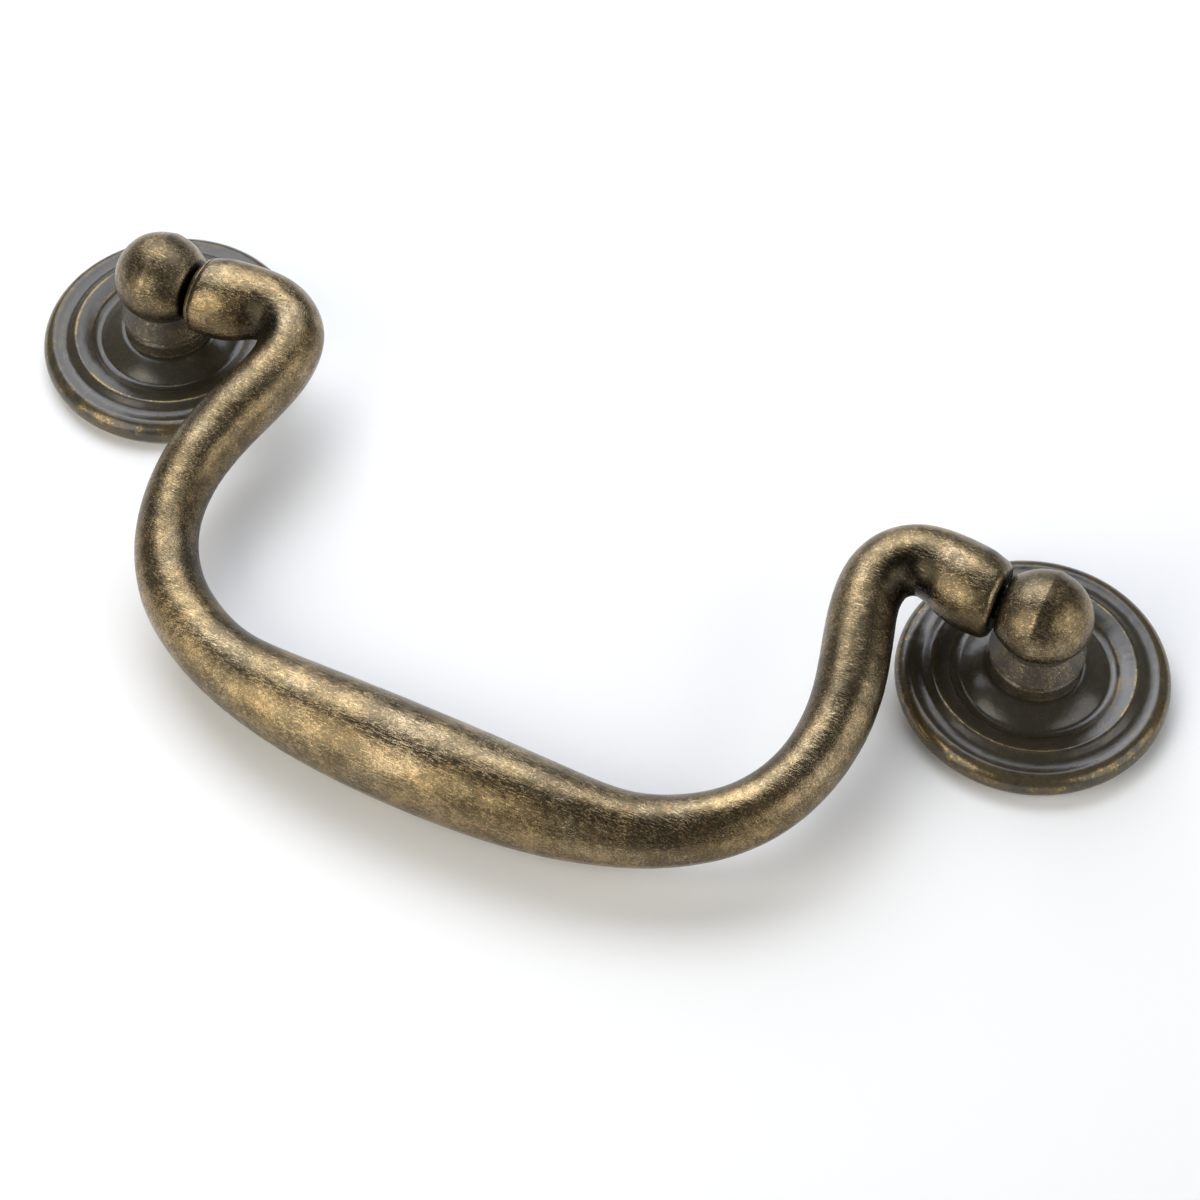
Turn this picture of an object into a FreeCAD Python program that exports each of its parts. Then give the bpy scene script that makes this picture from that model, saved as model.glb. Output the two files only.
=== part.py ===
import FreeCAD
import Part
import math
import os

# A swan-neck bail pull for a drawer or a cabinet door, lying as it hangs on a closed drawer.
# X runs from post to post, the grip hangs towards -Y, and Z points out of the drawer front.
# The origin is midway between the posts, on the plane of the drawer front. Sizes are in mm.

# The whole pull
POST_SPACING = 96.0
PIVOT_HEIGHT = 10.95

# Rosettes: hollow-backed discs with a rolled rim, an inner ring and a raised middle
ROSETTE_RADIUS = 13.33
RIM_ROUND = 1.4
RIM_TOP = 2.78
GROOVE_RADIUS = 10.7
BAND_HOLLOW = 0.09
RING_RADIUS = 9.8
RING_TOP = 3.26
CREST_HALF_WIDTH = 0.25
FIELD_RADIUS = 8.17
FIELD_EDGE_HEIGHT = 2.8
FIELD_CROWN = 0.1
COVE_WIDTH = 1.02
COVE_DEPTH = 0.3
COVE_HOLLOW = 0.155
SEAT_HEIGHT = 3.75
SEAT_RADIUS = 4.9
SHELL_THICKNESS = 1.2

# Posts: a ball with a rounded-in underside, a cone-shaped collar, a short drum and a spigot
BALL_RADIUS = 4.85
BALL_UNDERSIDE_ROUND = 3.4
BALL_FLAT_OFFSET = 4.05
NECK_RADIUS = 3.65
COLLAR_RADIUS = 4.75
COLLAR_BOTTOM = 6.05
DRUM_RADIUS = 4.62
SPIGOT_RADIUS = 3.0
SPIGOT_CLEARANCE = 0.05
THREAD_RADIUS = 1.65
THREAD_DEPTH = 7.2
DRILL_POINT_ANGLE = 118.0

# Bail: a round bar that swells at the grip and at both ends, with a pin cast on each end
BAIL_REACH = 36.85
GRIP_RADIUS = 4.95
ARM_RADIUS = 3.1
BULB_RADIUS = 4.15
END_RADIUS = 3.75
END_EDGE_ROUND = 1.0
END_GAP = 0.3
PIN_RADIUS = 1.7
PIN_LENGTH = 4.75
PIN_LEAD_IN = 0.3
PIN_CLEARANCE = 0.05
PIN_END_SPACE = 0.4
SECTIONS_PER_HALF = 30

HALF_SPACING = POST_SPACING / 2
PIVOT_TO_END = BALL_FLAT_OFFSET + END_GAP
END_X = HALF_SPACING - PIVOT_TO_END

# The drooping angle at which the grip just touches the drawer front
REST_ANGLE = math.degrees(math.asin((PIVOT_HEIGHT - GRIP_RADIUS) / BAIL_REACH))

# Half of the bail's centre line, from the end face to the middle of the grip.
# Each station is its distance in from the post's axis, its distance out from the
# pivot line towards the grip, and the radius of the bar there.
BAIL_STATIONS = [
    (PIVOT_TO_END, 0.0, END_RADIUS),
    (7.3, -0.38, BULB_RADIUS),
    (10.6, -1.2, 3.7),
    (13.3, -1.0, 3.45),
    (15.4, 0.75, 3.35),
    (16.1, 3.6, 3.25),
    (15.5, 7.4, 3.3),
    (14.1, BAIL_REACH * 0.342, 3.32),
    (13.45, BAIL_REACH * 0.4925, 3.2),
    (14.6, BAIL_REACH - 12.1, ARM_RADIUS),
    (17.7, BAIL_REACH - 7.0, 3.2),
    (22.0, BAIL_REACH - 3.65, 3.35),
    (27.0, BAIL_REACH - 1.55, 3.6),
    (32.0, BAIL_REACH - 0.65, 4.15),
    (39.0, BAIL_REACH - 0.15, 4.72),
    (HALF_SPACING, BAIL_REACH, GRIP_RADIUS),
]


def profile_point(radius, height):
    return FreeCAD.Vector(radius, 0, height)


def line(start, end):
    return Part.LineSegment(profile_point(*start), profile_point(*end)).toShape()


def arc(start, middle, end):
    return Part.Arc(profile_point(*start), profile_point(*middle), profile_point(*end)).toShape()


def polyline(points):
    return [line(start, end) for start, end in zip(points[:-1], points[1:])]


def turned(edges):
    """Turn a closed profile of radius and height round the Z axis."""
    face = Part.Face(Part.Wire(edges))
    return face.revolve(FreeCAD.Vector(0, 0, 0), FreeCAD.Vector(0, 0, 1), 360)


def on_circle(centre, radius, angle):
    """The profile point on a circle at an angle in degrees up from the outward direction."""
    turn = math.radians(angle)
    return (centre[0] + radius * math.cos(turn), centre[1] + radius * math.sin(turn))


def bowed(start, end, bow):
    """An arc whose middle stands off its chord, to the left of the way it runs if positive."""
    run = (end[0] - start[0], end[1] - start[1])
    share = bow / math.hypot(run[0], run[1])
    middle = (start[0] + run[0] / 2 - run[1] * share, start[1] + run[1] / 2 + run[0] * share)
    return arc(start, middle, end)


def rosette_front(bore_radius):
    """The visible side of the rosette, from the bore out to the widest line of the rim."""
    seat_edge = (SEAT_RADIUS, SEAT_HEIGHT)
    field_foot = (FIELD_RADIUS - COVE_WIDTH, FIELD_EDGE_HEIGHT - COVE_DEPTH)
    field_edge = (FIELD_RADIUS, FIELD_EDGE_HEIGHT)
    ring_inside = (RING_RADIUS - CREST_HALF_WIDTH, RING_TOP - 0.05)
    ring_outside = (RING_RADIUS + CREST_HALF_WIDTH, RING_TOP - 0.08)
    groove = (GROOVE_RADIUS, RIM_TOP)
    rim_centre = (ROSETTE_RADIUS - RIM_ROUND, RIM_TOP - RIM_ROUND)
    rim_top = on_circle(rim_centre, RIM_ROUND, 90)
    rim_side = on_circle(rim_centre, RIM_ROUND, 0)
    return [
        line((bore_radius, SEAT_HEIGHT), seat_edge),
        bowed(seat_edge, field_foot, FIELD_CROWN),
        bowed(field_foot, field_edge, -COVE_HOLLOW),
        bowed(field_edge, ring_inside, 0.055),
        bowed(ring_inside, ring_outside, 0.065),
        line(ring_outside, groove),
        bowed(groove, rim_top, -BAND_HOLLOW),
        arc(rim_top, on_circle(rim_centre, RIM_ROUND, 45), rim_side),
    ]


def rosette_back(bore_radius):
    """The foot and the hollow back, from the widest line of the rim in to the bore."""
    rim_centre = (ROSETTE_RADIUS - RIM_ROUND, RIM_TOP - RIM_ROUND)
    rim_side = on_circle(rim_centre, RIM_ROUND, 0)
    foot_outside = (rim_centre[0] + 0.8, 0.0)
    foot_inside = (rim_centre[0] - 0.35, 0.0)
    turn_in = on_circle(rim_centre, RIM_ROUND, -28)
    return [
        arc(rim_side, on_circle(rim_centre, RIM_ROUND, -14), turn_in),
    ] + polyline([
        turn_in,
        foot_outside,
        foot_inside,
        (rim_centre[0] - 0.75, RIM_TOP - SHELL_THICKNESS - 0.15),
        (GROOVE_RADIUS, RIM_TOP - SHELL_THICKNESS),
        (RING_RADIUS, RING_TOP - SHELL_THICKNESS),
        (FIELD_RADIUS, RIM_TOP - SHELL_THICKNESS),
        (FIELD_RADIUS - 1.25, RIM_TOP - SHELL_THICKNESS - 0.3),
        (SEAT_RADIUS - 0.5, SEAT_HEIGHT - SHELL_THICKNESS),
        (bore_radius, SEAT_HEIGHT - SHELL_THICKNESS),
        (bore_radius, SEAT_HEIGHT),
    ])


def make_rosette():
    bore_radius = SPIGOT_RADIUS + SPIGOT_CLEARANCE
    return turned(rosette_front(bore_radius) + rosette_back(bore_radius))


def ball_point(angle):
    return on_circle((0, PIVOT_HEIGHT), BALL_RADIUS, angle)


def post_profile():
    """Half of the post's section: spigot, drum, undercut, collar, neck and ball."""
    under_centre = (BALL_RADIUS - BALL_UNDERSIDE_ROUND, PIVOT_HEIGHT)
    neck_run = NECK_RADIUS + 0.1 - under_centre[0]
    neck_angle = -math.degrees(math.acos(neck_run / BALL_UNDERSIDE_ROUND))
    neck_top = on_circle(under_centre, BALL_UNDERSIDE_ROUND, neck_angle)
    under_middle = on_circle(under_centre, BALL_UNDERSIDE_ROUND, neck_angle / 2)
    neck = (NECK_RADIUS, neck_top[1] - 0.22)
    lip_bottom = (COLLAR_RADIUS, COLLAR_BOTTOM)
    lip_top = (COLLAR_RADIUS, COLLAR_BOTTOM + 0.12)
    base = polyline([
        (0, 0),
        (SPIGOT_RADIUS - 0.3, 0),
        (SPIGOT_RADIUS, 0.3),
        (SPIGOT_RADIUS, SEAT_HEIGHT),
        (DRUM_RADIUS, SEAT_HEIGHT),
        (DRUM_RADIUS, COLLAR_BOTTOM - 0.75),
        (COLLAR_RADIUS - 0.5, COLLAR_BOTTOM - 0.4),
        lip_bottom,
        lip_top,
    ])
    head = [
        line(lip_top, neck),
        line(neck, neck_top),
        arc(neck_top, under_middle, ball_point(0)),
        arc(ball_point(0), ball_point(45), ball_point(90)),
        line(ball_point(90), (0, 0)),
    ]
    return base + head


def blind_thread_hole():
    """The tap-drill hole up from the back of the post, with the drill's pointed end."""
    point_depth = THREAD_RADIUS / math.tan(math.radians(DRILL_POINT_ANGLE / 2))
    return turned(polyline([
        (0, -1),
        (THREAD_RADIUS, -1),
        (THREAD_RADIUS, THREAD_DEPTH),
        (0, THREAD_DEPTH + point_depth),
        (0, -1),
    ]))


def make_post():
    """A post whose ball has its flat and its pin bore on the -X side."""
    post = turned(post_profile()).cut(blind_thread_hole())
    flat_radius = math.sqrt(BALL_RADIUS ** 2 - BALL_FLAT_OFFSET ** 2) + 0.2
    flat_side = Part.makeBox(
        BALL_RADIUS, 2 * flat_radius, 2 * flat_radius,
        FreeCAD.Vector(-BALL_FLAT_OFFSET - BALL_RADIUS, -flat_radius, PIVOT_HEIGHT - flat_radius),
    )
    bore_depth = PIN_LENGTH - END_GAP + PIN_END_SPACE
    pin_bore = Part.makeCylinder(
        PIN_RADIUS + PIN_CLEARANCE, BALL_RADIUS + bore_depth,
        FreeCAD.Vector(-BALL_FLAT_OFFSET - BALL_RADIUS, 0, PIVOT_HEIGHT),
        FreeCAD.Vector(1, 0, 0),
    )
    return post.cut(flat_side).cut(pin_bore)


def mirrored(point):
    return FreeCAD.Vector(-point.x, point.y, point.z)


def bar_curve():
    """One curve for the whole bar: X across, Y out towards the grip, Z the bar's radius."""
    half = [
        FreeCAD.Vector(HALF_SPACING - inset, -reach, radius)
        for inset, reach, radius in BAIL_STATIONS
    ]
    other_half = [mirrored(point) for point in reversed(half[:-1])]
    curve = Part.BSplineCurve()
    curve.interpolate(Points=half + other_half)
    return curve


def bar_section(point, along):
    """A round section of the flat bar at a curve point, square to the centre line."""
    upright = FreeCAD.Vector(0, 0, 1)
    along.z = 0
    turn = FreeCAD.Rotation(upright, along.cross(upright), along, "ZXY")
    circle = Part.makeCircle(point.z)
    circle.Placement = FreeCAD.Placement(FreeCAD.Vector(point.x, point.y, 0), turn)
    return Part.Wire(circle)


def flat_bar():
    """The bar without its pins, lying in the XY plane with the pivot line on the X axis."""
    curve = bar_curve()
    step = (curve.LastParameter - curve.FirstParameter) / 2 / SECTIONS_PER_HALF
    inward = FreeCAD.Vector(-1, 0, 0)
    right_half = [bar_section(curve.value(curve.FirstParameter), inward)]
    left_half = [bar_section(mirrored(curve.value(curve.FirstParameter)), inward)]
    for index in range(1, SECTIONS_PER_HALF + 1):
        point = curve.value(curve.FirstParameter + step * index)
        along = curve.tangent(curve.FirstParameter + step * index)[0]
        right_half.append(bar_section(point, along))
        left_half.append(bar_section(mirrored(point), FreeCAD.Vector(along.x, -along.y, 0)))
    bar = Part.makeLoft(right_half + left_half[-2::-1], True)
    end_edges = [edge for edge in bar.Edges if abs(edge.CenterOfMass.x) > END_X - 0.01]
    return bar.makeFillet(END_EDGE_ROUND, end_edges)


def make_pin():
    """The pin cast on the +X end of the bail, with a small lead-in at its tip."""
    pin = turned(polyline([
        (0, END_X - 1),
        (PIN_RADIUS, END_X - 1),
        (PIN_RADIUS, END_X + PIN_LENGTH - PIN_LEAD_IN),
        (PIN_RADIUS - PIN_LEAD_IN, END_X + PIN_LENGTH),
        (0, END_X + PIN_LENGTH),
        (0, END_X - 1),
    ]))
    pin.rotate(FreeCAD.Vector(0, 0, 0), FreeCAD.Vector(0, 1, 0), 90)
    return pin


def make_bail():
    """The whole bail, drooping from the pivot line until its grip meets the drawer front."""
    pin = make_pin()
    other_pin = pin.mirror(FreeCAD.Vector(0, 0, 0), FreeCAD.Vector(1, 0, 0))
    bail = flat_bar().fuse([pin, other_pin])
    bail.rotate(FreeCAD.Vector(0, 0, 0), FreeCAD.Vector(1, 0, 0), REST_ANGLE)
    bail.translate(FreeCAD.Vector(0, 0, PIVOT_HEIGHT))
    return bail


def placed(shape, side):
    """A copy of a right-hand piece on the +X side, or turned round to the -X side."""
    copy = shape.copy()
    if side < 0:
        copy.rotate(FreeCAD.Vector(0, 0, 0), FreeCAD.Vector(0, 0, 1), 180)
    copy.translate(FreeCAD.Vector(side * HALF_SPACING, 0, 0))
    return copy


def main():
    post = make_post()
    rosette = make_rosette()
    pieces = {
        "bail": make_bail(),
        "right_post": placed(post, 1),
        "left_post": placed(post, -1),
        "right_rosette": placed(rosette, 1),
        "left_rosette": placed(rosette, -1),
    }
    os.makedirs("parts", exist_ok=True)
    for name, shape in pieces.items():
        shape.exportStep(os.path.join("parts", name + ".step"))
        print(name, shape.isValid(), len(shape.Solids), round(shape.Volume, 2), shape.BoundBox)


main()
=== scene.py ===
import math

import bpy
import numpy as np
from mathutils import Euler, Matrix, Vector, noise


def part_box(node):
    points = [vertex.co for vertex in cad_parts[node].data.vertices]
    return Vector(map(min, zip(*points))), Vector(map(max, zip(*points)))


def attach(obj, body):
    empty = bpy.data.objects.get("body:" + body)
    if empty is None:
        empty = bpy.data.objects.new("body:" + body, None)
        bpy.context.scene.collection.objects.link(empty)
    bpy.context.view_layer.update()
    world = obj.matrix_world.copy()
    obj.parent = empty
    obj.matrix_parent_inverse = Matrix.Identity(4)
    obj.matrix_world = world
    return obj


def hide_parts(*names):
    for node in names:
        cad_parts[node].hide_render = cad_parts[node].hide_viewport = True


# The looks of a swan-neck bail pull in antique brass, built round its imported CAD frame.
# Lengths below are in millimetres unless they say otherwise, and meshes are scaled to metres.

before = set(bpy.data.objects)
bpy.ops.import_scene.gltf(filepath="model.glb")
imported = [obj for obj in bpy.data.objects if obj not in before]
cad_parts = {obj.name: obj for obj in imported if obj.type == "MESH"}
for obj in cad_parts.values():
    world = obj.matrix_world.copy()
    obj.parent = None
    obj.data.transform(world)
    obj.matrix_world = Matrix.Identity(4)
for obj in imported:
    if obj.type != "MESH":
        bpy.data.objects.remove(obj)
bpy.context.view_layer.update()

MM = 0.001

# The whole pull, read from the frame
rosette_low, rosette_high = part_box("right_rosette")
post_low, post_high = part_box("right_post")
HALF_SPACING = (rosette_low.x + rosette_high.x) / 2 / MM
ROSETTE_RADIUS = (rosette_high.x - rosette_low.x) / 2 / MM
BALL_TOP = post_high.z / MM

# Posts, as in the CAD source
BALL_RADIUS = 4.85
PIVOT_HEIGHT = BALL_TOP - BALL_RADIUS
BALL_UNDERSIDE_ROUND = 3.4
BALL_FLAT_OFFSET = 4.05
NECK_RADIUS = 3.65
COLLAR_RADIUS = 4.75
COLLAR_BOTTOM = 6.05
DRUM_RADIUS = 4.62
SPIGOT_RADIUS = 3.0
THREAD_RADIUS = 1.65
THREAD_DEPTH = 7.2
DRILL_POINT_ANGLE = 118.0
DRILL_TIP = THREAD_DEPTH + THREAD_RADIUS / math.tan(math.radians(DRILL_POINT_ANGLE / 2))

# The posts' finer detail: the M4 thread, the ball's flat with its soft edge, the wider mouth
# of the pin's bore, the middle of the groove under the ball, and the seam ground over the ball
THREAD_PITCH = 0.7
THREAD_HEIGHT = 0.32
FLAT_REACH = 3.6
FLAT_EDGE_ROUND = 0.12
BORE_MOUTH_WIDTH = 0.14
NECK_HEIGHT = 8.35
SEAM_RIDGE = 0.08
SEAM_HALF_WIDTH = 0.8

# Rosettes, as in the CAD source
RIM_ROUND = 1.4
RIM_TOP = 2.78
GROOVE_RADIUS = 10.7
BAND_HOLLOW = 0.09
RING_RADIUS = 9.8
RING_TOP = 3.26
CREST_HALF_WIDTH = 0.25
FIELD_RADIUS = 8.17
FIELD_EDGE_HEIGHT = 2.8
FIELD_CROWN = 0.1
COVE_WIDTH = 1.02
COVE_DEPTH = 0.3
COVE_HOLLOW = 0.155
SEAT_HEIGHT = 3.75
SEAT_RADIUS = 4.9
SHELL_THICKNESS = 1.2
SPIGOT_CLEARANCE = 0.05

# Bail, as in the CAD source
BAIL_REACH = 36.85
GRIP_RADIUS = 4.95
ARM_RADIUS = 3.1
BULB_RADIUS = 4.15
END_RADIUS = 3.75
END_EDGE_ROUND = 1.0
END_GAP = 0.3
PIN_RADIUS = 1.7
PIN_LENGTH = 4.75
PIN_LEAD_IN = 0.3
PIN_CLEARANCE = 0.05
PIN_END_SPACE = 0.4
PIVOT_TO_END = BALL_FLAT_OFFSET + END_GAP
END_X = HALF_SPACING - PIVOT_TO_END
REST_ANGLE = math.asin((PIVOT_HEIGHT - GRIP_RADIUS) / BAIL_REACH)

# Each station is its distance in from the post's axis, its distance out from the
# pivot line towards the grip, and the radius of the bar there.
BAIL_STATIONS = [
    (PIVOT_TO_END, 0.0, END_RADIUS),
    (7.3, -0.38, BULB_RADIUS),
    (10.6, -1.2, 3.7),
    (13.3, -1.0, 3.45),
    (15.4, 0.75, 3.35),
    (16.1, 3.6, 3.25),
    (15.5, 7.4, 3.3),
    (14.1, BAIL_REACH * 0.342, 3.32),
    (13.45, BAIL_REACH * 0.4925, 3.2),
    (14.6, BAIL_REACH - 12.1, ARM_RADIUS),
    (17.7, BAIL_REACH - 7.0, 3.2),
    (22.0, BAIL_REACH - 3.65, 3.35),
    (27.0, BAIL_REACH - 1.55, 3.6),
    (32.0, BAIL_REACH - 0.65, 4.15),
    (39.0, BAIL_REACH - 0.15, 4.72),
    (HALF_SPACING, BAIL_REACH, GRIP_RADIUS),
]

# How finely the meshes are divided
BAR_RINGS = 400
BAR_SEGMENTS = 112
ROSETTE_SEGMENTS = 288
POST_SEGMENTS = 160
BORE_SEGMENTS = 96

# Over how many rings the bar turns at its ends to face the posts, over how many its bend is
# averaged to find the hollows, and the bend radius at which a hollow is full of patina and painted
# shade
END_BLEND_RINGS = 6
HOLLOW_SPREAD = 17
HOLLOW_SIZE = 5.0

# Hand finish: how far each surface wanders inwards from its true form, the worn parting line
# round the bar, how much further in the file went under each ball, and how far below the
# pivot line it went in fully
BAIL_WANDER = 0.04
POST_WANDER = 0.025
ROSETTE_WANDER = 0.015
PARTING_RIDGE = 0.05
PARTING_HALF_WIDTH = 0.28
RIGHT_UNDERSIDE_FILED = 0.35
LEFT_UNDERSIDE_FILED = 0.0
BALL_UNDERSIDE_DEPTH = 2.6

# Colours of the bare metals, and of the oxide and dirt that lie on them; the black of dirt and pits
# also paints shade
BARE_BRASS = (0.37, 0.285, 0.172)
GOLD_BRASS = (0.37, 0.255, 0.110)
BROWN_BRASS = (0.140, 0.108, 0.064)
COPPER = (0.34, 0.185, 0.090)
WORN_BRONZE = (0.19, 0.143, 0.076)
OXIDE = (0.030, 0.026, 0.018)
BRONZE_OXIDE = (0.035, 0.030, 0.020)
GRIME_AND_SHADE = (0.016, 0.015, 0.012)
OXIDE_IOR = 1.57

# Tints of the lamps, and the room's dim light at the horizon and overhead
COOL_WHITE = (0.96, 1.0, 1.09)
WARM_WHITE = (1.04, 1.0, 0.90)
PLAIN_WHITE = (1.0, 1.0, 1.0)
ROOM_TINT = (0.98, 1.0, 1.04, 1.0)
ROOM_LIGHT_LOW = 0.19
ROOM_LIGHT_HIGH = 0.10

# The table, in metres
TABLE_HALF_WIDTH = 4.0
TABLE_WHITE = (0.97, 0.97, 0.965, 1.0)

# The camera that took the photograph, solved from the outlines of the pieces, in metres
CAMERA_PLACE = (0.0855256, -0.1701423, 0.2575514)
CAMERA_TURN = (34.8322, 0.1491, 26.0698)
CAMERA_LENS = 95.394
SENSOR_WIDTH = 36.0


# Outlines and meshes

def straight(start, end, steps):
    """Points along a straight run, without its start."""
    shares = [(i + 1) / steps for i in range(steps)]
    return [(start[0] + (end[0] - start[0]) * s, start[1] + (end[1] - start[1]) * s) for s in shares]


def bowed(start, end, bow, steps):
    """Points along a run whose middle stands off its chord, to the left if positive."""
    run = (end[0] - start[0], end[1] - start[1])
    length = math.hypot(*run)
    points = []
    for x, z in straight(start, end, steps):
        share = math.hypot(x - start[0], z - start[1]) / length
        rise = bow * 4 * share * (1 - share) / length
        points.append((x - run[1] * rise, z + run[0] * rise))
    return points


def on_circle(centre, radius, angle):
    """The outline's point on a circle at an angle in degrees up from the outward direction."""
    turn = math.radians(angle)
    return (centre[0] + radius * math.cos(turn), centre[1] + radius * math.sin(turn))


def arc(centre, radius, start_angle, end_angle, steps):
    """Points round a circle, without the start."""
    turn = (end_angle - start_angle) / steps
    return [on_circle(centre, radius, start_angle + turn * (i + 1)) for i in range(steps)]


def softened(outline, passes):
    """The outline with its corners rounded a little, as casting and polishing leave them."""
    points = np.array(outline, float)
    for _ in range(passes):
        points[1:-1] = (points[:-2] + 2 * points[1:-1] + points[2:]) / 4
    return [tuple(point) for point in points]


def ring_faces(rows, columns, joined):
    """Faces of a skin over rows of vertices, where each row is a closed ring."""
    faces = []
    for row in range(rows if joined else rows - 1):
        here = row * columns
        there = (row + 1) % rows * columns
        for column in range(columns):
            after = (column + 1) % columns
            faces.append((here + column, here + after, there + after, there + column))
    return faces


def cap_faces(first, columns, centre, upwards):
    """A fan of triangles that closes a ring of vertices at one centre vertex."""
    pairs = [(first + i, first + (i + 1) % columns) for i in range(columns)]
    return [(b, a, centre) if upwards else (a, b, centre) for a, b in pairs]


def skin(name, rings, start_tip=None, end_tip=None):
    """A closed mesh over rings of vertices, closed at its tips or, with none, round on itself."""
    rows, columns = rings.shape[:2]
    joined = start_tip is None
    vertices = [tuple(vertex) for vertex in rings.reshape(-1, 3)]
    faces = ring_faces(rows, columns, joined)
    if not joined:
        vertices += [tuple(start_tip), tuple(end_tip)]
        faces += cap_faces(0, columns, len(vertices) - 2, True)
        faces += cap_faces((rows - 1) * columns, columns, len(vertices) - 1, False)
    mesh = bpy.data.meshes.new(name)
    mesh.from_pydata(vertices, [], faces)
    mesh.polygons.foreach_set("use_smooth", [True] * len(mesh.polygons))
    mesh.update()
    piece = bpy.data.objects.new(name, mesh)
    bpy.context.scene.collection.objects.link(piece)
    return piece


def turned_rings(outline, segments):
    """Rings of vertices for an outline of radius and height turned round the Z axis."""
    outline = np.array(outline, float)
    turn = np.arange(segments) * 2 * math.pi / segments
    rings = np.empty((len(outline), segments, 3))
    rings[:, :, 0] = outline[:, :1] * np.cos(turn)
    rings[:, :, 1] = outline[:, :1] * np.sin(turn)
    rings[:, :, 2] = outline[:, 1:]
    return rings


def vertex_places(piece):
    places = np.empty(len(piece.data.vertices) * 3)
    piece.data.vertices.foreach_get("co", places)
    return places.reshape(-1, 3)


def set_places(piece, places):
    piece.data.vertices.foreach_set("co", places.ravel())
    piece.data.update()


def raise_surface(piece, height_at):
    """Move each vertex along its normal by the height that the function gives for its place."""
    places = vertex_places(piece)
    normals = np.empty(len(places) * 3)
    piece.data.vertices.foreach_get("normal", normals)
    heights = np.array([height_at(Vector(place)) for place in places])
    set_places(piece, places + normals.reshape(-1, 3) * heights[:, None])


def wander(place, size, seed):
    """A smooth value from 0 to 1 that changes over about the given size."""
    value = noise.fractal(place / size + Vector((seed, seed, seed)), 0.8, 2.0, 3)
    return min(1.0, max(0.0, 0.5 + value / 2))


def bump_between(distance, half_width):
    """1 on a line, falling smoothly to 0 at the half width from it."""
    share = max(0.0, 1 - abs(distance) / half_width)
    return share * share * (3 - 2 * share)


def place_on_side(piece, side):
    """Turn a right-hand piece round to the left where side is -1, and set it on its axis."""
    places = vertex_places(piece)
    places[:, 0] = places[:, 0] * side + side * HALF_SPACING
    places[:, 1] = places[:, 1] * side
    set_places(piece, places)


def finish_piece(piece, body, node, material):
    """Scale the piece to metres and set it in the frame in place of its CAD node."""
    set_places(piece, vertex_places(piece) * MM)
    piece.data.materials.append(material)
    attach(piece, body)
    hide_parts(node)


# The bail

def smooth_curve(points):
    """A cubic curve through the points, as a function that gives places for shares from 0 to 1."""
    points = np.array(points, float)
    steps = np.linalg.norm(np.diff(points, axis=0), axis=1)
    slopes = np.diff(points, axis=0) / steps[:, None]
    knots = np.concatenate([[0], np.cumsum(steps)])
    system = np.eye(len(points))
    right_side = np.zeros_like(points)
    for i in range(1, len(points) - 1):
        system[i, i - 1:i + 2] = (steps[i - 1], 2 * (steps[i - 1] + steps[i]), steps[i])
        right_side[i] = 6 * (slopes[i] - slopes[i - 1])
    bends = np.linalg.solve(system, right_side)

    def place(shares):
        along = np.asarray(shares) * knots[-1]
        i = np.clip(np.searchsorted(knots, along, side="right") - 1, 0, len(steps) - 1)
        ahead = ((along - knots[i]) / steps[i])[:, None]
        behind = 1 - ahead
        bending = (behind ** 3 - behind) * bends[i] + (ahead ** 3 - ahead) * bends[i + 1]
        return behind * points[i] + ahead * points[i + 1] + bending * steps[i][:, None] ** 2 / 6

    return place


def bar_line():
    """Places along the flat bar between its rounded ends: X, Y and the bar's radius."""
    half = [(HALF_SPACING - inset, -reach, radius) for inset, reach, radius in BAIL_STATIONS]
    other_half = [(-x, y, radius) for x, y, radius in reversed(half[:-1])]
    dense = smooth_curve(half + other_half)(np.linspace(0, 1, 6000))
    rounding = END_EDGE_ROUND * (1 - math.sin(end_taper(dense)))
    dense = dense[np.abs(dense[:, 0]) < END_X - rounding]
    lengths = np.concatenate([[0], np.cumsum(np.hypot(*np.diff(dense[:, :2], axis=0).T))])
    even = np.linspace(0, lengths[-1], BAR_RINGS)
    return np.stack([np.interp(even, lengths, column) for column in dense.T], 1)


def end_taper(line):
    """The angle at which the bar narrows towards its end, where the rounding meets it."""
    narrowing = line[line[:, 0] > END_X - 1.5 * END_EDGE_ROUND]
    run = narrowing[0] - narrowing[-1]
    return math.atan2(-run[2], run[0])


def end_outline(bar_radius, taper):
    """The end of the bar: distance out from where its rounding begins, and radius there."""
    back = END_EDGE_ROUND * math.sin(taper)
    corner = (-back, bar_radius - END_EDGE_ROUND * math.cos(taper))
    start_angle = 90 - math.degrees(taper)
    outline = arc(corner, END_EDGE_ROUND, start_angle, 0.0, 12)
    face = END_EDGE_ROUND - back
    outline += straight((face, corner[1]), (face, PIN_RADIUS + 0.15), 5)
    outline += [(face + 0.04, PIN_RADIUS + 0.04), (face + 0.15, PIN_RADIUS)]
    tip = face + PIN_LENGTH
    outline += straight((face + 0.15, PIN_RADIUS), (tip - PIN_LEAD_IN, PIN_RADIUS), 10)
    outline += straight((tip - PIN_LEAD_IN, PIN_RADIUS), (tip, PIN_RADIUS - PIN_LEAD_IN), 3)
    outline += straight((tip, PIN_RADIUS - PIN_LEAD_IN), (tip, 0.4), 2)
    return outline


def bar_ring(x, y, radius, along):
    """One ring of vertices square to the bar's line."""
    side = np.array([-along[1], along[0], 0.0])
    upright = np.array([0.0, 0.0, 1.0])
    turn = np.arange(BAR_SEGMENTS)[:, None] * 2 * math.pi / BAR_SEGMENTS
    return np.array([x, y, 0.0]) + radius * (np.cos(turn) * side + np.sin(turn) * upright)


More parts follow.
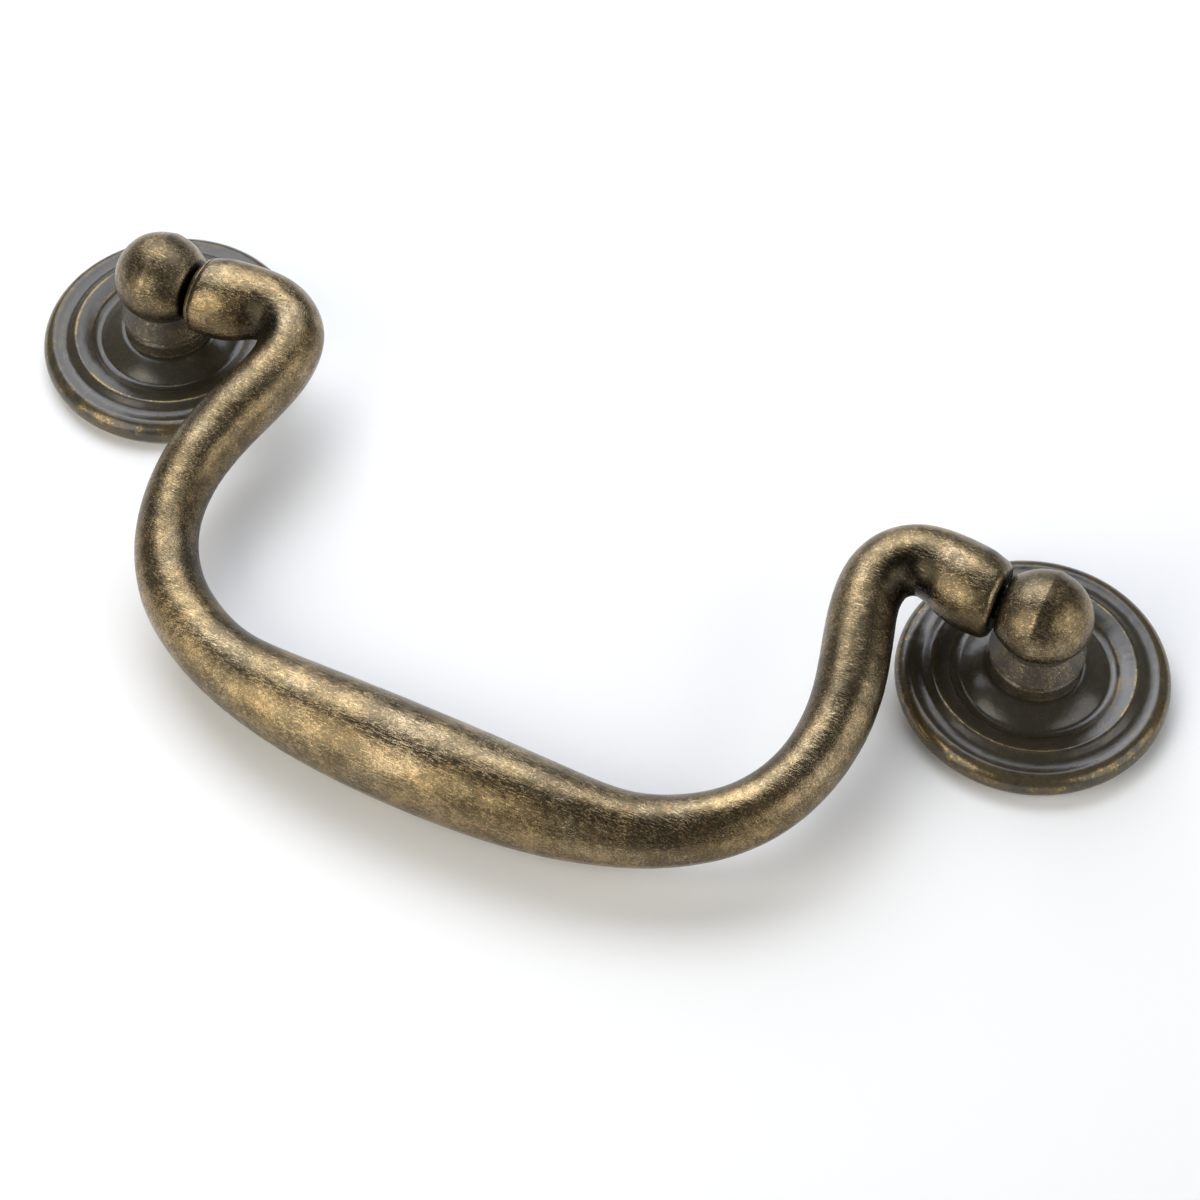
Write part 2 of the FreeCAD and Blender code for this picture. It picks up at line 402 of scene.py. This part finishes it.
def ring_directions(line):
    """The way each ring faces: along the bar, and straight along X at the bar's two ends."""
    along = np.gradient(line[:, :2], axis=0)
    along /= np.linalg.norm(along, axis=1)[:, None]
    to_end = np.minimum(np.arange(len(line)), np.arange(len(line))[::-1]) / END_BLEND_RINGS
    share = np.minimum(1.0, to_end)[:, None]
    along = share * along + (1 - share) * np.array([-1.0, 0.0])
    return along / np.linalg.norm(along, axis=1)[:, None]


def bar_hollows(line, directions):
    """How deep in a hollow of the bend each vertex of the bar lies, from 0 to 1."""
    bends = np.gradient(np.unwrap(np.arctan2(directions[:, 1], directions[:, 0])))
    bends /= np.hypot(*np.gradient(line[:, :2], axis=0).T)
    weights = np.hanning(HOLLOW_SPREAD)
    bends = np.convolve(bends, weights / weights.sum(), "same")
    around = np.cos(np.arange(BAR_SEGMENTS) * 2 * math.pi / BAR_SEGMENTS)
    return np.clip(np.outer(bends, around) * HOLLOW_SIZE, 0, 1)


def end_rings(line):
    """The rings of the bar's rounded right end and its pin, from the bar outwards."""
    x, y, bar_radius = line[0]
    rings = []
    for out, radius in end_outline(bar_radius, end_taper(line)):
        rings.append(bar_ring(x + out, y * max(0.0, 1 - out), radius, (-1.0, 0.0)))
    return rings


def mirrored_ring(ring):
    """The ring at the bar's other end, with its vertices in the order that the bar's have."""
    mirrored = ring[::-1] * np.array([-1.0, 1.0, 1.0])
    return np.roll(mirrored, BAR_SEGMENTS // 2 + 1, axis=0)


def bail_rings():
    """Every ring of the bail from the tip of the right pin to the tip of the left one, and
    how deep in a hollow of the bend each vertex lies."""
    line = bar_line()
    directions = ring_directions(line)
    start = end_rings(line)
    middle = [bar_ring(*place, along) for place, along in zip(line, directions)]
    end = [mirrored_ring(ring) for ring in start]
    plain = np.zeros((len(start), BAR_SEGMENTS))
    hollows = np.concatenate([plain, bar_hollows(line, directions), plain])
    return np.array(start[::-1] + middle + end), hollows


def bail_height(place):
    """The hand-finished casting: a slight wander, and the worn parting line round the bar.
    Both fade out towards the ends, whose faces and pins are true."""
    share = 1.0
    if place.y > -3:
        share = min(1.0, max(0.0, END_X - END_EDGE_ROUND - abs(place.x)) / 2.5)
    ridge = bump_between(place.z, PARTING_HALF_WIDTH) * wander(place, 5.0, 7.3)
    return share * (PARTING_RIDGE * ridge - BAIL_WANDER * wander(place, 4.5, 1.7))


def make_bail(material):
    rings, hollows = bail_rings()
    tip_x = END_X + PIN_LENGTH
    piece = skin("bail_casting", rings, (tip_x, 0, 0), (-tip_x, 0, 0))
    hollow = piece.data.attributes.new("hollow", "FLOAT", "POINT")
    hollow.data.foreach_set("value", np.concatenate([hollows.ravel(), [0, 0]]))
    raise_surface(piece, bail_height)
    places = vertex_places(piece)
    turn = np.array(Euler((REST_ANGLE, 0, 0)).to_matrix())
    set_places(piece, places @ turn.T + np.array([0, 0, PIVOT_HEIGHT]))
    finish_piece(piece, "bail", "bail", material)


# The rosettes

def rosette_outline():
    """Round the rosette's whole section: out over the front, and back in under the shell."""
    bore = SPIGOT_RADIUS + SPIGOT_CLEARANCE
    seat_edge = (SEAT_RADIUS, SEAT_HEIGHT)
    field_foot = (FIELD_RADIUS - COVE_WIDTH, FIELD_EDGE_HEIGHT - COVE_DEPTH)
    field_edge = (FIELD_RADIUS, FIELD_EDGE_HEIGHT)
    ring_inside = (RING_RADIUS - CREST_HALF_WIDTH, RING_TOP - 0.05)
    ring_outside = (RING_RADIUS + CREST_HALF_WIDTH, RING_TOP - 0.08)
    groove = (GROOVE_RADIUS, RIM_TOP)
    rim_centre = (ROSETTE_RADIUS - RIM_ROUND, RIM_TOP - RIM_ROUND)
    front = [(bore, SEAT_HEIGHT)]
    front += straight((bore, SEAT_HEIGHT), seat_edge, 10)
    front += bowed(seat_edge, field_foot, FIELD_CROWN, 22)
    front += bowed(field_foot, field_edge, -COVE_HOLLOW, 12)
    front += bowed(field_edge, ring_inside, 0.055, 14)
    front += bowed(ring_inside, ring_outside, 0.065, 7)
    front += straight(ring_outside, groove, 8)
    front += bowed(groove, (rim_centre[0], RIM_TOP), -BAND_HOLLOW, 13)
    front += arc(rim_centre, RIM_ROUND, 90, -28, 28)
    front = softened(front, 2)
    foot_outside = (rim_centre[0] + 0.8, 0.0)
    foot_inside = (rim_centre[0] - 0.35, 0.0)
    back_points = [
        foot_outside,
        foot_inside,
        (rim_centre[0] - 0.75, RIM_TOP - SHELL_THICKNESS - 0.15),
        (GROOVE_RADIUS, RIM_TOP - SHELL_THICKNESS),
        (RING_RADIUS, RING_TOP - SHELL_THICKNESS),
        (FIELD_RADIUS, RIM_TOP - SHELL_THICKNESS),
        (FIELD_RADIUS - 1.25, RIM_TOP - SHELL_THICKNESS - 0.3),
        (SEAT_RADIUS - 0.5, SEAT_HEIGHT - SHELL_THICKNESS),
        (bore, SEAT_HEIGHT - SHELL_THICKNESS),
    ]
    back = []
    for start, end in zip([front[-1]] + back_points[:-1], back_points):
        back += straight(start, end, 4)
    back += straight(back_points[-1], front[0], 4)[:-1]
    return front + back


def rosette_height(place):
    """The slight wander of the polished disc. Its flat foot stays true."""
    if place.z > 0.5:
        return -ROSETTE_WANDER * wander(place, 6.0, 3.1)
    return 0.0


def make_rosette(name, side, material):
    rings = turned_rings(rosette_outline(), ROSETTE_SEGMENTS)[::-1]
    piece = skin(name + "_disc", rings)
    place_on_side(piece, side)
    raise_surface(piece, rosette_height)
    finish_piece(piece, "base", name, material)


# The posts

def post_outline():
    """From the drill point of the tapped hole, round the spigot and up to the top of the ball."""
    centre = (0.0, PIVOT_HEIGHT)
    under_centre = (BALL_RADIUS - BALL_UNDERSIDE_ROUND, PIVOT_HEIGHT)
    neck_run = NECK_RADIUS + 0.1 - under_centre[0]
    neck_angle = -math.degrees(math.acos(neck_run / BALL_UNDERSIDE_ROUND))
    neck_top = on_circle(under_centre, BALL_UNDERSIDE_ROUND, neck_angle)
    neck = (NECK_RADIUS, neck_top[1] - 0.22)
    lip_bottom = (COLLAR_RADIUS, COLLAR_BOTTOM)
    lip_top = (COLLAR_RADIUS, COLLAR_BOTTOM + 0.12)
    undercut = (COLLAR_RADIUS - 0.5, COLLAR_BOTTOM - 0.4)
    hole_bottom = (THREAD_RADIUS, THREAD_DEPTH)
    hole_mouth = (THREAD_RADIUS, 0.0)
    foot_edge = (SPIGOT_RADIUS - 0.3, 0.0)
    spigot_bottom = (SPIGOT_RADIUS, 0.3)
    spigot_top = (SPIGOT_RADIUS, SEAT_HEIGHT)
    drum_bottom = (DRUM_RADIUS, SEAT_HEIGHT)
    drum_top = (DRUM_RADIUS, COLLAR_BOTTOM - 0.75)
    hole = straight((0.0, DRILL_TIP), hole_bottom, 6)
    hole += straight(hole_bottom, hole_mouth, 72)
    foot = straight(hole_mouth, foot_edge, 3)
    foot += straight(foot_edge, spigot_bottom, 3)
    foot += straight(spigot_bottom, spigot_top, 8)
    foot += straight(spigot_top, drum_bottom, 6)
    head = straight(drum_bottom, drum_top, 12)
    head += straight(drum_top, undercut, 5)
    head += straight(undercut, lip_bottom, 6)
    head += straight(lip_bottom, lip_top, 2)
    head += straight(lip_top, neck, 20)
    head += straight(neck, neck_top, 3)
    head += arc(under_centre, BALL_UNDERSIDE_ROUND, neck_angle, 0.0, 26)
    head += arc(centre, BALL_RADIUS, 0.0, 89.0, 70)
    return hole + foot + softened(head, 1)


def cut_thread(rings):
    """Wind a screw thread into the wall of the tapped hole."""
    for ring in rings:
        height = ring[0][2]
        if height > THREAD_DEPTH - 0.1 or math.hypot(*ring[0][:2]) > THREAD_RADIUS + 0.01:
            continue
        for vertex in ring:
            turn = math.atan2(vertex[1], vertex[0]) / (2 * math.pi)
            phase = (height / THREAD_PITCH - turn) % 1.0
            depth = THREAD_HEIGHT * (1 - abs(2 * phase - 1)) * min(1.0, height / 0.3)
            vertex[:2] *= 1 + depth / THREAD_RADIUS
    return rings


def press_flat(piece):
    """Press the ball's -X side to its flat, with a small soft edge."""
    places = vertex_places(piece)
    outside = places[:, 0] < -BALL_FLAT_OFFSET + 6 * FLAT_EDGE_ROUND
    near = outside & (np.hypot(places[:, 1], places[:, 2] - PIVOT_HEIGHT) < FLAT_REACH)
    over = (places[:, 0] + BALL_FLAT_OFFSET) / FLAT_EDGE_ROUND
    pressed = FLAT_EDGE_ROUND * np.logaddexp(0, over) - BALL_FLAT_OFFSET
    places[near, 0] = pressed[near]
    set_places(piece, places)


def post_height(place, filed):
    """The cast surface: a slight wander, the ground seam where the mould's halves met, and
    the underside of the ball, filed in by hand. The spigot, the hole and the flat are true."""
    in_hole = place.z < 8 and math.hypot(place.x, place.y) < THREAD_RADIUS + 0.8
    if in_hole or place.z < SEAT_HEIGHT + 0.2:
        return 0.0
    roof = max(0.0, 1 - abs(place.x) / SEAM_HALF_WIDTH)
    height = SEAM_RIDGE * (roof - 1) - POST_WANDER * wander(place, 3.0, 5.9)
    drop = PIVOT_HEIGHT - place.z
    if drop < BALL_UNDERSIDE_DEPTH:
        height -= filed * (1 - bump_between(max(0.0, drop), BALL_UNDERSIDE_DEPTH))
        height *= min(1.0, max(0.0, place.x + BALL_FLAT_OFFSET - 0.2))
    return height


def bore_pin_hole(piece):
    """Cut the blind bore that the bail's pin turns in, with a slightly wider mouth."""
    radius = PIN_RADIUS + PIN_CLEARANCE
    mouth_radius = radius + BORE_MOUTH_WIDTH
    bottom = BALL_FLAT_OFFSET - (PIN_LENGTH - END_GAP + PIN_END_SPACE)
    top = BALL_FLAT_OFFSET + 1
    outline = [(0.3, bottom), (radius, bottom)]
    outline += straight((radius, bottom), (radius, BALL_FLAT_OFFSET - 0.12), 6)
    outline += [(mouth_radius, BALL_FLAT_OFFSET + 0.02), (mouth_radius, top), (0.3, top)]
    cutter = skin("pin_bore", turned_rings(outline, BORE_SEGMENTS), (0, 0, bottom), (0, 0, top))
    places = vertex_places(cutter)
    set_places(cutter, np.stack([-places[:, 2], places[:, 1], places[:, 0] + PIVOT_HEIGHT], 1))
    cut = piece.modifiers.new("pin_bore", "BOOLEAN")
    cut.operation = "DIFFERENCE"
    cut.solver = "EXACT"
    cut.object = cutter
    bored = bpy.data.meshes.new_from_object(piece.evaluated_get(bpy.context.evaluated_depsgraph_get()))
    piece.modifiers.clear()
    piece.data = bored
    bpy.data.objects.remove(cutter)


def make_post(name, side, filed, material):
    rings = cut_thread(turned_rings(post_outline(), POST_SEGMENTS))
    piece = skin(name + "_casting", rings, (0, 0, DRILL_TIP), (0, 0, BALL_TOP))
    raise_surface(piece, lambda place: post_height(place, filed))
    press_flat(piece)
    bore_pin_hole(piece)
    place_on_side(piece, side)
    finish_piece(piece, "base", name, material)


# Materials

class Shader:
    """Builds one node material, a socket at a time. Its places and heights are in mm."""

    def __init__(self, name):
        self.material = bpy.data.materials.new(name)
        self.material.use_nodes = True
        self.tree = self.material.node_tree
        self.tree.nodes.clear()
        self.output = self.tree.nodes.new("ShaderNodeOutputMaterial")
        coordinates = self.tree.nodes.new("ShaderNodeTexCoord")
        scaled = self.tree.nodes.new("ShaderNodeVectorMath")
        scaled.operation = "SCALE"
        scaled.inputs["Scale"].default_value = 1 / MM
        self.link(coordinates.outputs["Object"], scaled.inputs[0])
        self.place = scaled.outputs[0]
        parts = self.tree.nodes.new("ShaderNodeSeparateXYZ")
        self.link(self.place, parts.inputs[0])
        self.x, self.y, self.z = parts.outputs
        self.across = self.math("ABSOLUTE", self.x)

    def link(self, source, target):
        self.tree.links.new(source, target)

    def put(self, target, value):
        """Set a socket to a number or colour, or link it to another socket."""
        if isinstance(value, bpy.types.NodeSocket):
            self.link(value, target)
        else:
            target.default_value = value

    def noise(self, size, detail=2.0, roughness=0.5, distortion=0.0, place=None):
        """A cloudy value from about 0.3 to 0.7 that changes over the given size in mm."""
        node = self.tree.nodes.new("ShaderNodeTexNoise")
        self.link(place or self.place, node.inputs["Vector"])
        node.inputs["Scale"].default_value = 1 / size
        node.inputs["Detail"].default_value = detail
        node.inputs["Roughness"].default_value = roughness
        node.inputs["Distortion"].default_value = distortion
        return node.outputs["Fac"]

    def spots(self, size):
        """The distance from the nearest of many scattered points, as a share of the size."""
        node = self.tree.nodes.new("ShaderNodeTexVoronoi")
        self.link(self.place, node.inputs["Vector"])
        node.inputs["Scale"].default_value = 1 / size
        return node.outputs["Distance"]

    def turned_place(self, turn, stretch):
        """Places turned and squeezed, so that a noise drawn on them makes strokes."""
        node = self.tree.nodes.new("ShaderNodeMapping")
        self.link(self.place, node.inputs["Vector"])
        node.inputs["Rotation"].default_value = [math.radians(angle) for angle in turn]
        node.inputs["Scale"].default_value = stretch
        return node.outputs[0]

    def between(self, value, low, high, to_low=0.0, to_high=1.0):
        """The value's share of the way from low to high, smoothed, on the new range."""
        node = self.tree.nodes.new("ShaderNodeMapRange")
        node.interpolation_type = "SMOOTHSTEP"
        self.put(node.inputs["Value"], value)
        node.inputs["From Min"].default_value = low
        node.inputs["From Max"].default_value = high
        node.inputs["To Min"].default_value = to_low
        node.inputs["To Max"].default_value = to_high
        return node.outputs["Result"]

    def near(self, value, centre, half_width):
        """1 where the value is at the centre, falling smoothly to 0 at the half width from it."""
        off = self.math("ABSOLUTE", self.math("SUBTRACT", value, centre))
        return self.between(off, half_width, 0.0)

    def math(self, operation, first, second=0.0):
        node = self.tree.nodes.new("ShaderNodeMath")
        node.operation = operation
        self.put(node.inputs[0], first)
        self.put(node.inputs[1], second)
        return node.outputs[0]

    def times(self, first, second):
        return self.math("MULTIPLY", first, second)

    def total(self, *parts):
        """The sum of sockets, each with its share: total((socket, share), ...)."""
        result = None
        for socket, share in parts:
            scaled = self.times(socket, share)
            result = scaled if result is None else self.math("ADD", result, scaled)
        return result

    def highest(self, *sockets):
        """The largest of the sockets."""
        result = sockets[0]
        for socket in sockets[1:]:
            result = self.math("MAXIMUM", result, socket)
        return result

    def mix(self, share, first, second):
        node = self.tree.nodes.new("ShaderNodeMix")
        node.data_type = "RGBA"
        self.put(node.inputs["Factor"], share)
        for socket, value in ((node.inputs[6], first), (node.inputs[7], second)):
            self.put(socket, value if isinstance(value, bpy.types.NodeSocket) else (*value, 1.0))
        return node.outputs[2]

    def attribute(self, name):
        node = self.tree.nodes.new("ShaderNodeAttribute")
        node.attribute_name = name
        return node.outputs["Fac"]

    def metal(self, colour, metallic, roughness, height):
        """Metal where 'metallic' is 1 and glossy oxide where it is 0, with the fine relief of
        the height socket."""
        surface = self.tree.nodes.new("ShaderNodeBsdfPrincipled")
        surface.inputs["IOR"].default_value = OXIDE_IOR
        bump = self.tree.nodes.new("ShaderNodeBump")
        bump.inputs["Distance"].default_value = MM
        self.link(height, bump.inputs["Height"])
        self.put(surface.inputs["Base Color"], colour)
        self.put(surface.inputs["Metallic"], metallic)
        self.put(surface.inputs["Roughness"], roughness)
        self.link(bump.outputs[0], surface.inputs["Normal"])
        self.link(surface.outputs[0], self.output.inputs["Surface"])
        return self.material


def strokes(shader):
    """Fine curved hairs left by wire wool in four directions, from 0 to 1."""
    lines = []
    for turn in ((0, 0, 20), (40, 10, 75), (70, 30, 130), (20, 70, 160)):
        stretched = shader.turned_place(turn, (0.9, 8.0, 8.0))
        lines.append(shader.noise(1.0, 2.0, 0.6, 0.5, stretched))
    return shader.between(shader.highest(*lines), 0.56, 0.72)


def brass(shader, tarnish, shade_and_grime):
    """Antique brass: oxide rubbed back to bare metal, with hair scratches, flecks and pits.
    Tarnish keeps the oxide on and the last argument blackens it, each from 0 to 1: patina and painted
    shade in the bail's bends, and painted shade on its end faces, on the balls' flats and in the
    grooves under the balls."""
    clouds = shader.noise(6.0, 3.0, 0.55)
    patches = shader.noise(1.6, 4.0, 0.6, 0.3)
    grain = shader.noise(0.35, 3.0, 0.7)
    specks = shader.noise(0.15, 3.0, 0.7)
    dents = shader.noise(2.6, 2.0, 0.5)
    scratches = strokes(shader)
    mottle = shader.total(
        (clouds, 0.38), (patches, 0.34), (grain, 0.26), (specks, 0.40), (scratches, 0.14))
    colour = shader.mix(shader.between(mottle, 0.68, 0.88), BROWN_BRASS, BARE_BRASS)
    golden = shader.between(shader.noise(7.0, 2.0), 0.42, 0.62)
    golden = shader.times(golden, shader.between(mottle, 0.65, 0.85, 0.1, 0.6))
    colour = shader.mix(golden, colour, GOLD_BRASS)
    coppery = shader.between(shader.noise(0.9, 3.0, 0.6), 0.62, 0.70)
    colour = shader.mix(shader.times(coppery, 0.6), colour, COPPER)
    stained = shader.between(mottle, 0.72, 0.60)
    colour = shader.mix(shader.times(stained, 0.35), colour, OXIDE)
    flecks = shader.between(specks, 0.57, 0.65)
    colour = shader.mix(shader.times(flecks, 0.4), colour, GOLD_BRASS)
    oxide = shader.times(tarnish, shader.between(mottle, 0.90, 0.74, 0.25, 0.95))
    colour = shader.mix(oxide, colour, OXIDE)
    pits = shader.between(shader.spots(0.8), 0.12, 0.04)
    pits = shader.times(pits, shader.between(patches, 0.5, 0.62))
    # Black for pits, and for patina and painted shade where the last argument asks for it
    grime_and_shade_cover = shader.times(shade_and_grime, shader.between(mottle, 0.90, 0.78, 0.6, 1.0))
    colour = shader.mix(shader.highest(pits, grime_and_shade_cover), colour, GRIME_AND_SHADE)
    metallic = shader.between(oxide, 0.0, 1.0, 1.0, 0.15)
    roughness = shader.between(mottle, 0.65, 0.90, 0.29, 0.22)
    height = shader.total(
        (dents, 0.15), (grain, 0.016), (specks, 0.010), (scratches, -0.008), (pits, -0.03))
    return shader.metal(colour, metallic, roughness, height)


def bail_brass():
    """Brass blackened by patina and painted shade inside the tight bends, and by painted shade on the
    end faces.
    """
    shader = Shader("bail_antique_brass")
    # Patina and painted shade inside the tight bends, deepest where the bar bends most
    hollow = shader.between(shader.attribute("hollow"), 0.05, 0.35)
    # Painted shade on the end faces, for the dark gap between each end and its ball
    end_face_shade = shader.between(shader.across, END_X - 0.3, END_X - 0.05)
    end_face_shade = shader.times(end_face_shade, shader.between(shader.y, -6, -5))
    return brass(shader, 0.0, shader.highest(shader.times(hollow, 0.82), end_face_shade))


def post_brass():
    """Brass rubbed on the ball and dull below it, with painted shade on the flat and in the groove
    under the ball.
    On the left ball the painted shade reaches a little past the flat's edge."""
    shader = Shader("post_antique_brass")
    below_ball = shader.between(shader.z, NECK_HEIGHT + 0.8, NECK_HEIGHT + 0.1, 0.1, 0.9)
    # Painted shade in the groove under each ball and on the balls' flats, for the dark gap beside the
    # bail's ends
    groove = shader.near(shader.z, NECK_HEIGHT, 0.45)
    flat_x = HALF_SPACING - BALL_FLAT_OFFSET
    flat_shade = shader.between(shader.across, flat_x + 0.15, flat_x + 0.03)
    left_flat_shade_spill = shader.between(shader.across, flat_x + 0.6, flat_x + 0.35)
    left_flat_shade_spill = shader.times(left_flat_shade_spill, shader.between(shader.x, 1.0, -1.0))
    on_ball = shader.between(shader.z, NECK_HEIGHT - 0.15, NECK_HEIGHT + 0.15)
    flat_shade = shader.times(shader.highest(flat_shade, left_flat_shade_spill), on_ball)
    return brass(shader, below_ball, shader.highest(flat_shade, shader.times(groove, 0.8)))


def rosette_bronze():
    """A smooth brown oxide, worn through to the metal on the rim and the raised edges."""
    shader = Shader("rosette_brown_bronze")
    off_axis = shader.math("SUBTRACT", shader.across, HALF_SPACING)
    squares = shader.math("ADD", shader.times(off_axis, off_axis), shader.times(shader.y, shader.y))
    radius = shader.math("SQRT", squares)
    clouds = shader.noise(5.0, 3.0, 0.55)
    patches = shader.noise(1.2, 4.0, 0.65)
    grain = shader.noise(0.25, 3.0, 0.65)
    specks = shader.noise(0.12, 2.0, 0.6)
    dents = shader.noise(2.5, 2.0, 0.5)
    mottle = shader.total((clouds, 0.4), (patches, 0.35), (grain, 0.25))
    rim = shader.near(radius, ROSETTE_RADIUS - RIM_ROUND * 0.35, 1.2)
    ring = shader.near(radius, RING_RADIUS, 0.35)
    field_edge = shader.near(radius, FIELD_RADIUS, 0.25)
    worn_rim = shader.times(rim, shader.between(mottle, 0.42, 0.58))
    worn_edges = shader.times(shader.highest(ring, field_edge), shader.between(mottle, 0.46, 0.56))
    rubbed = shader.between(specks, 0.52, 0.62)
    rubbed = shader.times(rubbed, shader.between(patches, 0.46, 0.60, 0.05, 0.6))
    worn = shader.highest(worn_rim, worn_edges, rubbed)
    colour = shader.mix(worn, BRONZE_OXIDE, WORN_BRONZE)
    bright = shader.times(rim, shader.between(shader.total((patches, 0.5), (grain, 0.5)), 0.56, 0.62))
    colour = shader.mix(shader.times(bright, 0.6), colour, GOLD_BRASS)
    metallic = shader.highest(worn, bright)
    roughness = shader.between(mottle, 0.35, 0.65, 0.22, 0.27)
    height = shader.total((dents, 0.08), (grain, 0.008), (specks, 0.004))
    return shader.metal(colour, metallic, roughness, height)


# The studio

def studio_floor():
    """A white table far larger than the view."""
    mesh = bpy.data.meshes.new("table")
    half = TABLE_HALF_WIDTH
    corners = [(-half, -half, 0), (half, -half, 0), (half, half, 0), (-half, half, 0)]
    mesh.from_pydata(corners, [], [(0, 1, 2, 3)])
    table = bpy.data.objects.new("table", mesh)
    bpy.context.scene.collection.objects.link(table)
    material = bpy.data.materials.new("white_table")
    material.use_nodes = True
    paint = material.node_tree.nodes["Principled BSDF"]
    paint.inputs["Base Color"].default_value = TABLE_WHITE
    paint.inputs["Roughness"].default_value = 0.9
    paint.inputs["Specular IOR Level"].default_value = 0.1
    mesh.materials.append(material)


def soft_box(name, bearing, height_angle, distance, yaw, width, height, radiance, tint):
    """A rectangular lamp with the given radiance. Its bearing is in degrees round from +Y
    towards +X, and its yaw turns it off the line to the middle of the pull."""
    lamp = bpy.data.lights.new(name, "AREA")
    lamp.shape = "RECTANGLE"
    lamp.size = width * MM
    lamp.size_y = height * MM
    lamp.energy = radiance * lamp.size * lamp.size_y * math.pi
    lamp.color = tint
    holder = bpy.data.objects.new(name, lamp)
    holder.location = direction(bearing, height_angle) * distance * MM
    facing = -direction(bearing + yaw, height_angle)
    holder.rotation_euler = facing.to_track_quat("-Z", "Y").to_euler()
    holder.visible_camera = False
    bpy.context.scene.collection.objects.link(holder)


def direction(bearing, height_angle):
    """The unit vector at a bearing round from +Y towards +X and an angle above the table."""
    turn = math.radians(bearing)
    rise = math.radians(height_angle)
    flat = math.cos(rise)
    return Vector((math.sin(turn) * flat, math.cos(turn) * flat, math.sin(rise)))


def studio_lamps():
    """One soft lamp close above the back left, two further off in front and to the right,
    and a large one far behind."""
    soft_box("back_left_light", bearing=-37.3, height_angle=64.4, distance=158, yaw=6.9,
             width=224, height=88, radiance=2.55, tint=COOL_WHITE)
    soft_box("front_light", bearing=-154, height_angle=29, distance=320, yaw=25,
             width=240, height=280, radiance=3.15, tint=WARM_WHITE)
    soft_box("right_light", bearing=91.7, height_angle=24.1, distance=350, yaw=2,
             width=298, height=243, radiance=1.95, tint=PLAIN_WHITE)
    soft_box("far_back_light", bearing=-40, height_angle=38, distance=800, yaw=-12,
             width=600, height=600, radiance=2.75, tint=COOL_WHITE)


def studio_room():
    """A dim room round the table, brighter at the horizon than overhead."""
    world = bpy.data.worlds.new("studio")
    world.use_nodes = True
    nodes = world.node_tree.nodes
    links = world.node_tree.links
    coordinates = nodes.new("ShaderNodeTexCoord")
    parts = nodes.new("ShaderNodeSeparateXYZ")
    fade = nodes.new("ShaderNodeMapRange")
    fade.inputs["From Min"].default_value = 0.0
    fade.inputs["From Max"].default_value = 1.0
    fade.inputs["To Min"].default_value = ROOM_LIGHT_LOW
    fade.inputs["To Max"].default_value = ROOM_LIGHT_HIGH
    links.new(coordinates.outputs["Generated"], parts.inputs[0])
    links.new(parts.outputs["Z"], fade.inputs["Value"])
    background = nodes["Background"]
    background.inputs["Color"].default_value = ROOM_TINT
    links.new(fade.outputs["Result"], background.inputs["Strength"])
    bpy.context.scene.world = world


def studio_camera():
    camera = bpy.data.cameras.new("camera")
    camera.lens = CAMERA_LENS
    camera.sensor_width = SENSOR_WIDTH
    camera.clip_start = 0.01
    holder = bpy.data.objects.new("camera", camera)
    holder.location = CAMERA_PLACE
    holder.rotation_euler = [math.radians(angle) for angle in CAMERA_TURN]
    bpy.context.scene.collection.objects.link(holder)
    bpy.context.scene.camera = holder


studio_camera()
studio_floor()
studio_lamps()
studio_room()
make_bail(bail_brass())
post_material = post_brass()
rosette_material = rosette_bronze()
for side, word, filed in ((1, "right", RIGHT_UNDERSIDE_FILED), (-1, "left", LEFT_UNDERSIDE_FILED)):
    make_post(word + "_post", side, filed, post_material)
    make_rosette(word + "_rosette", side, rosette_material)

bpy.context.scene.view_settings.view_transform = "Standard"
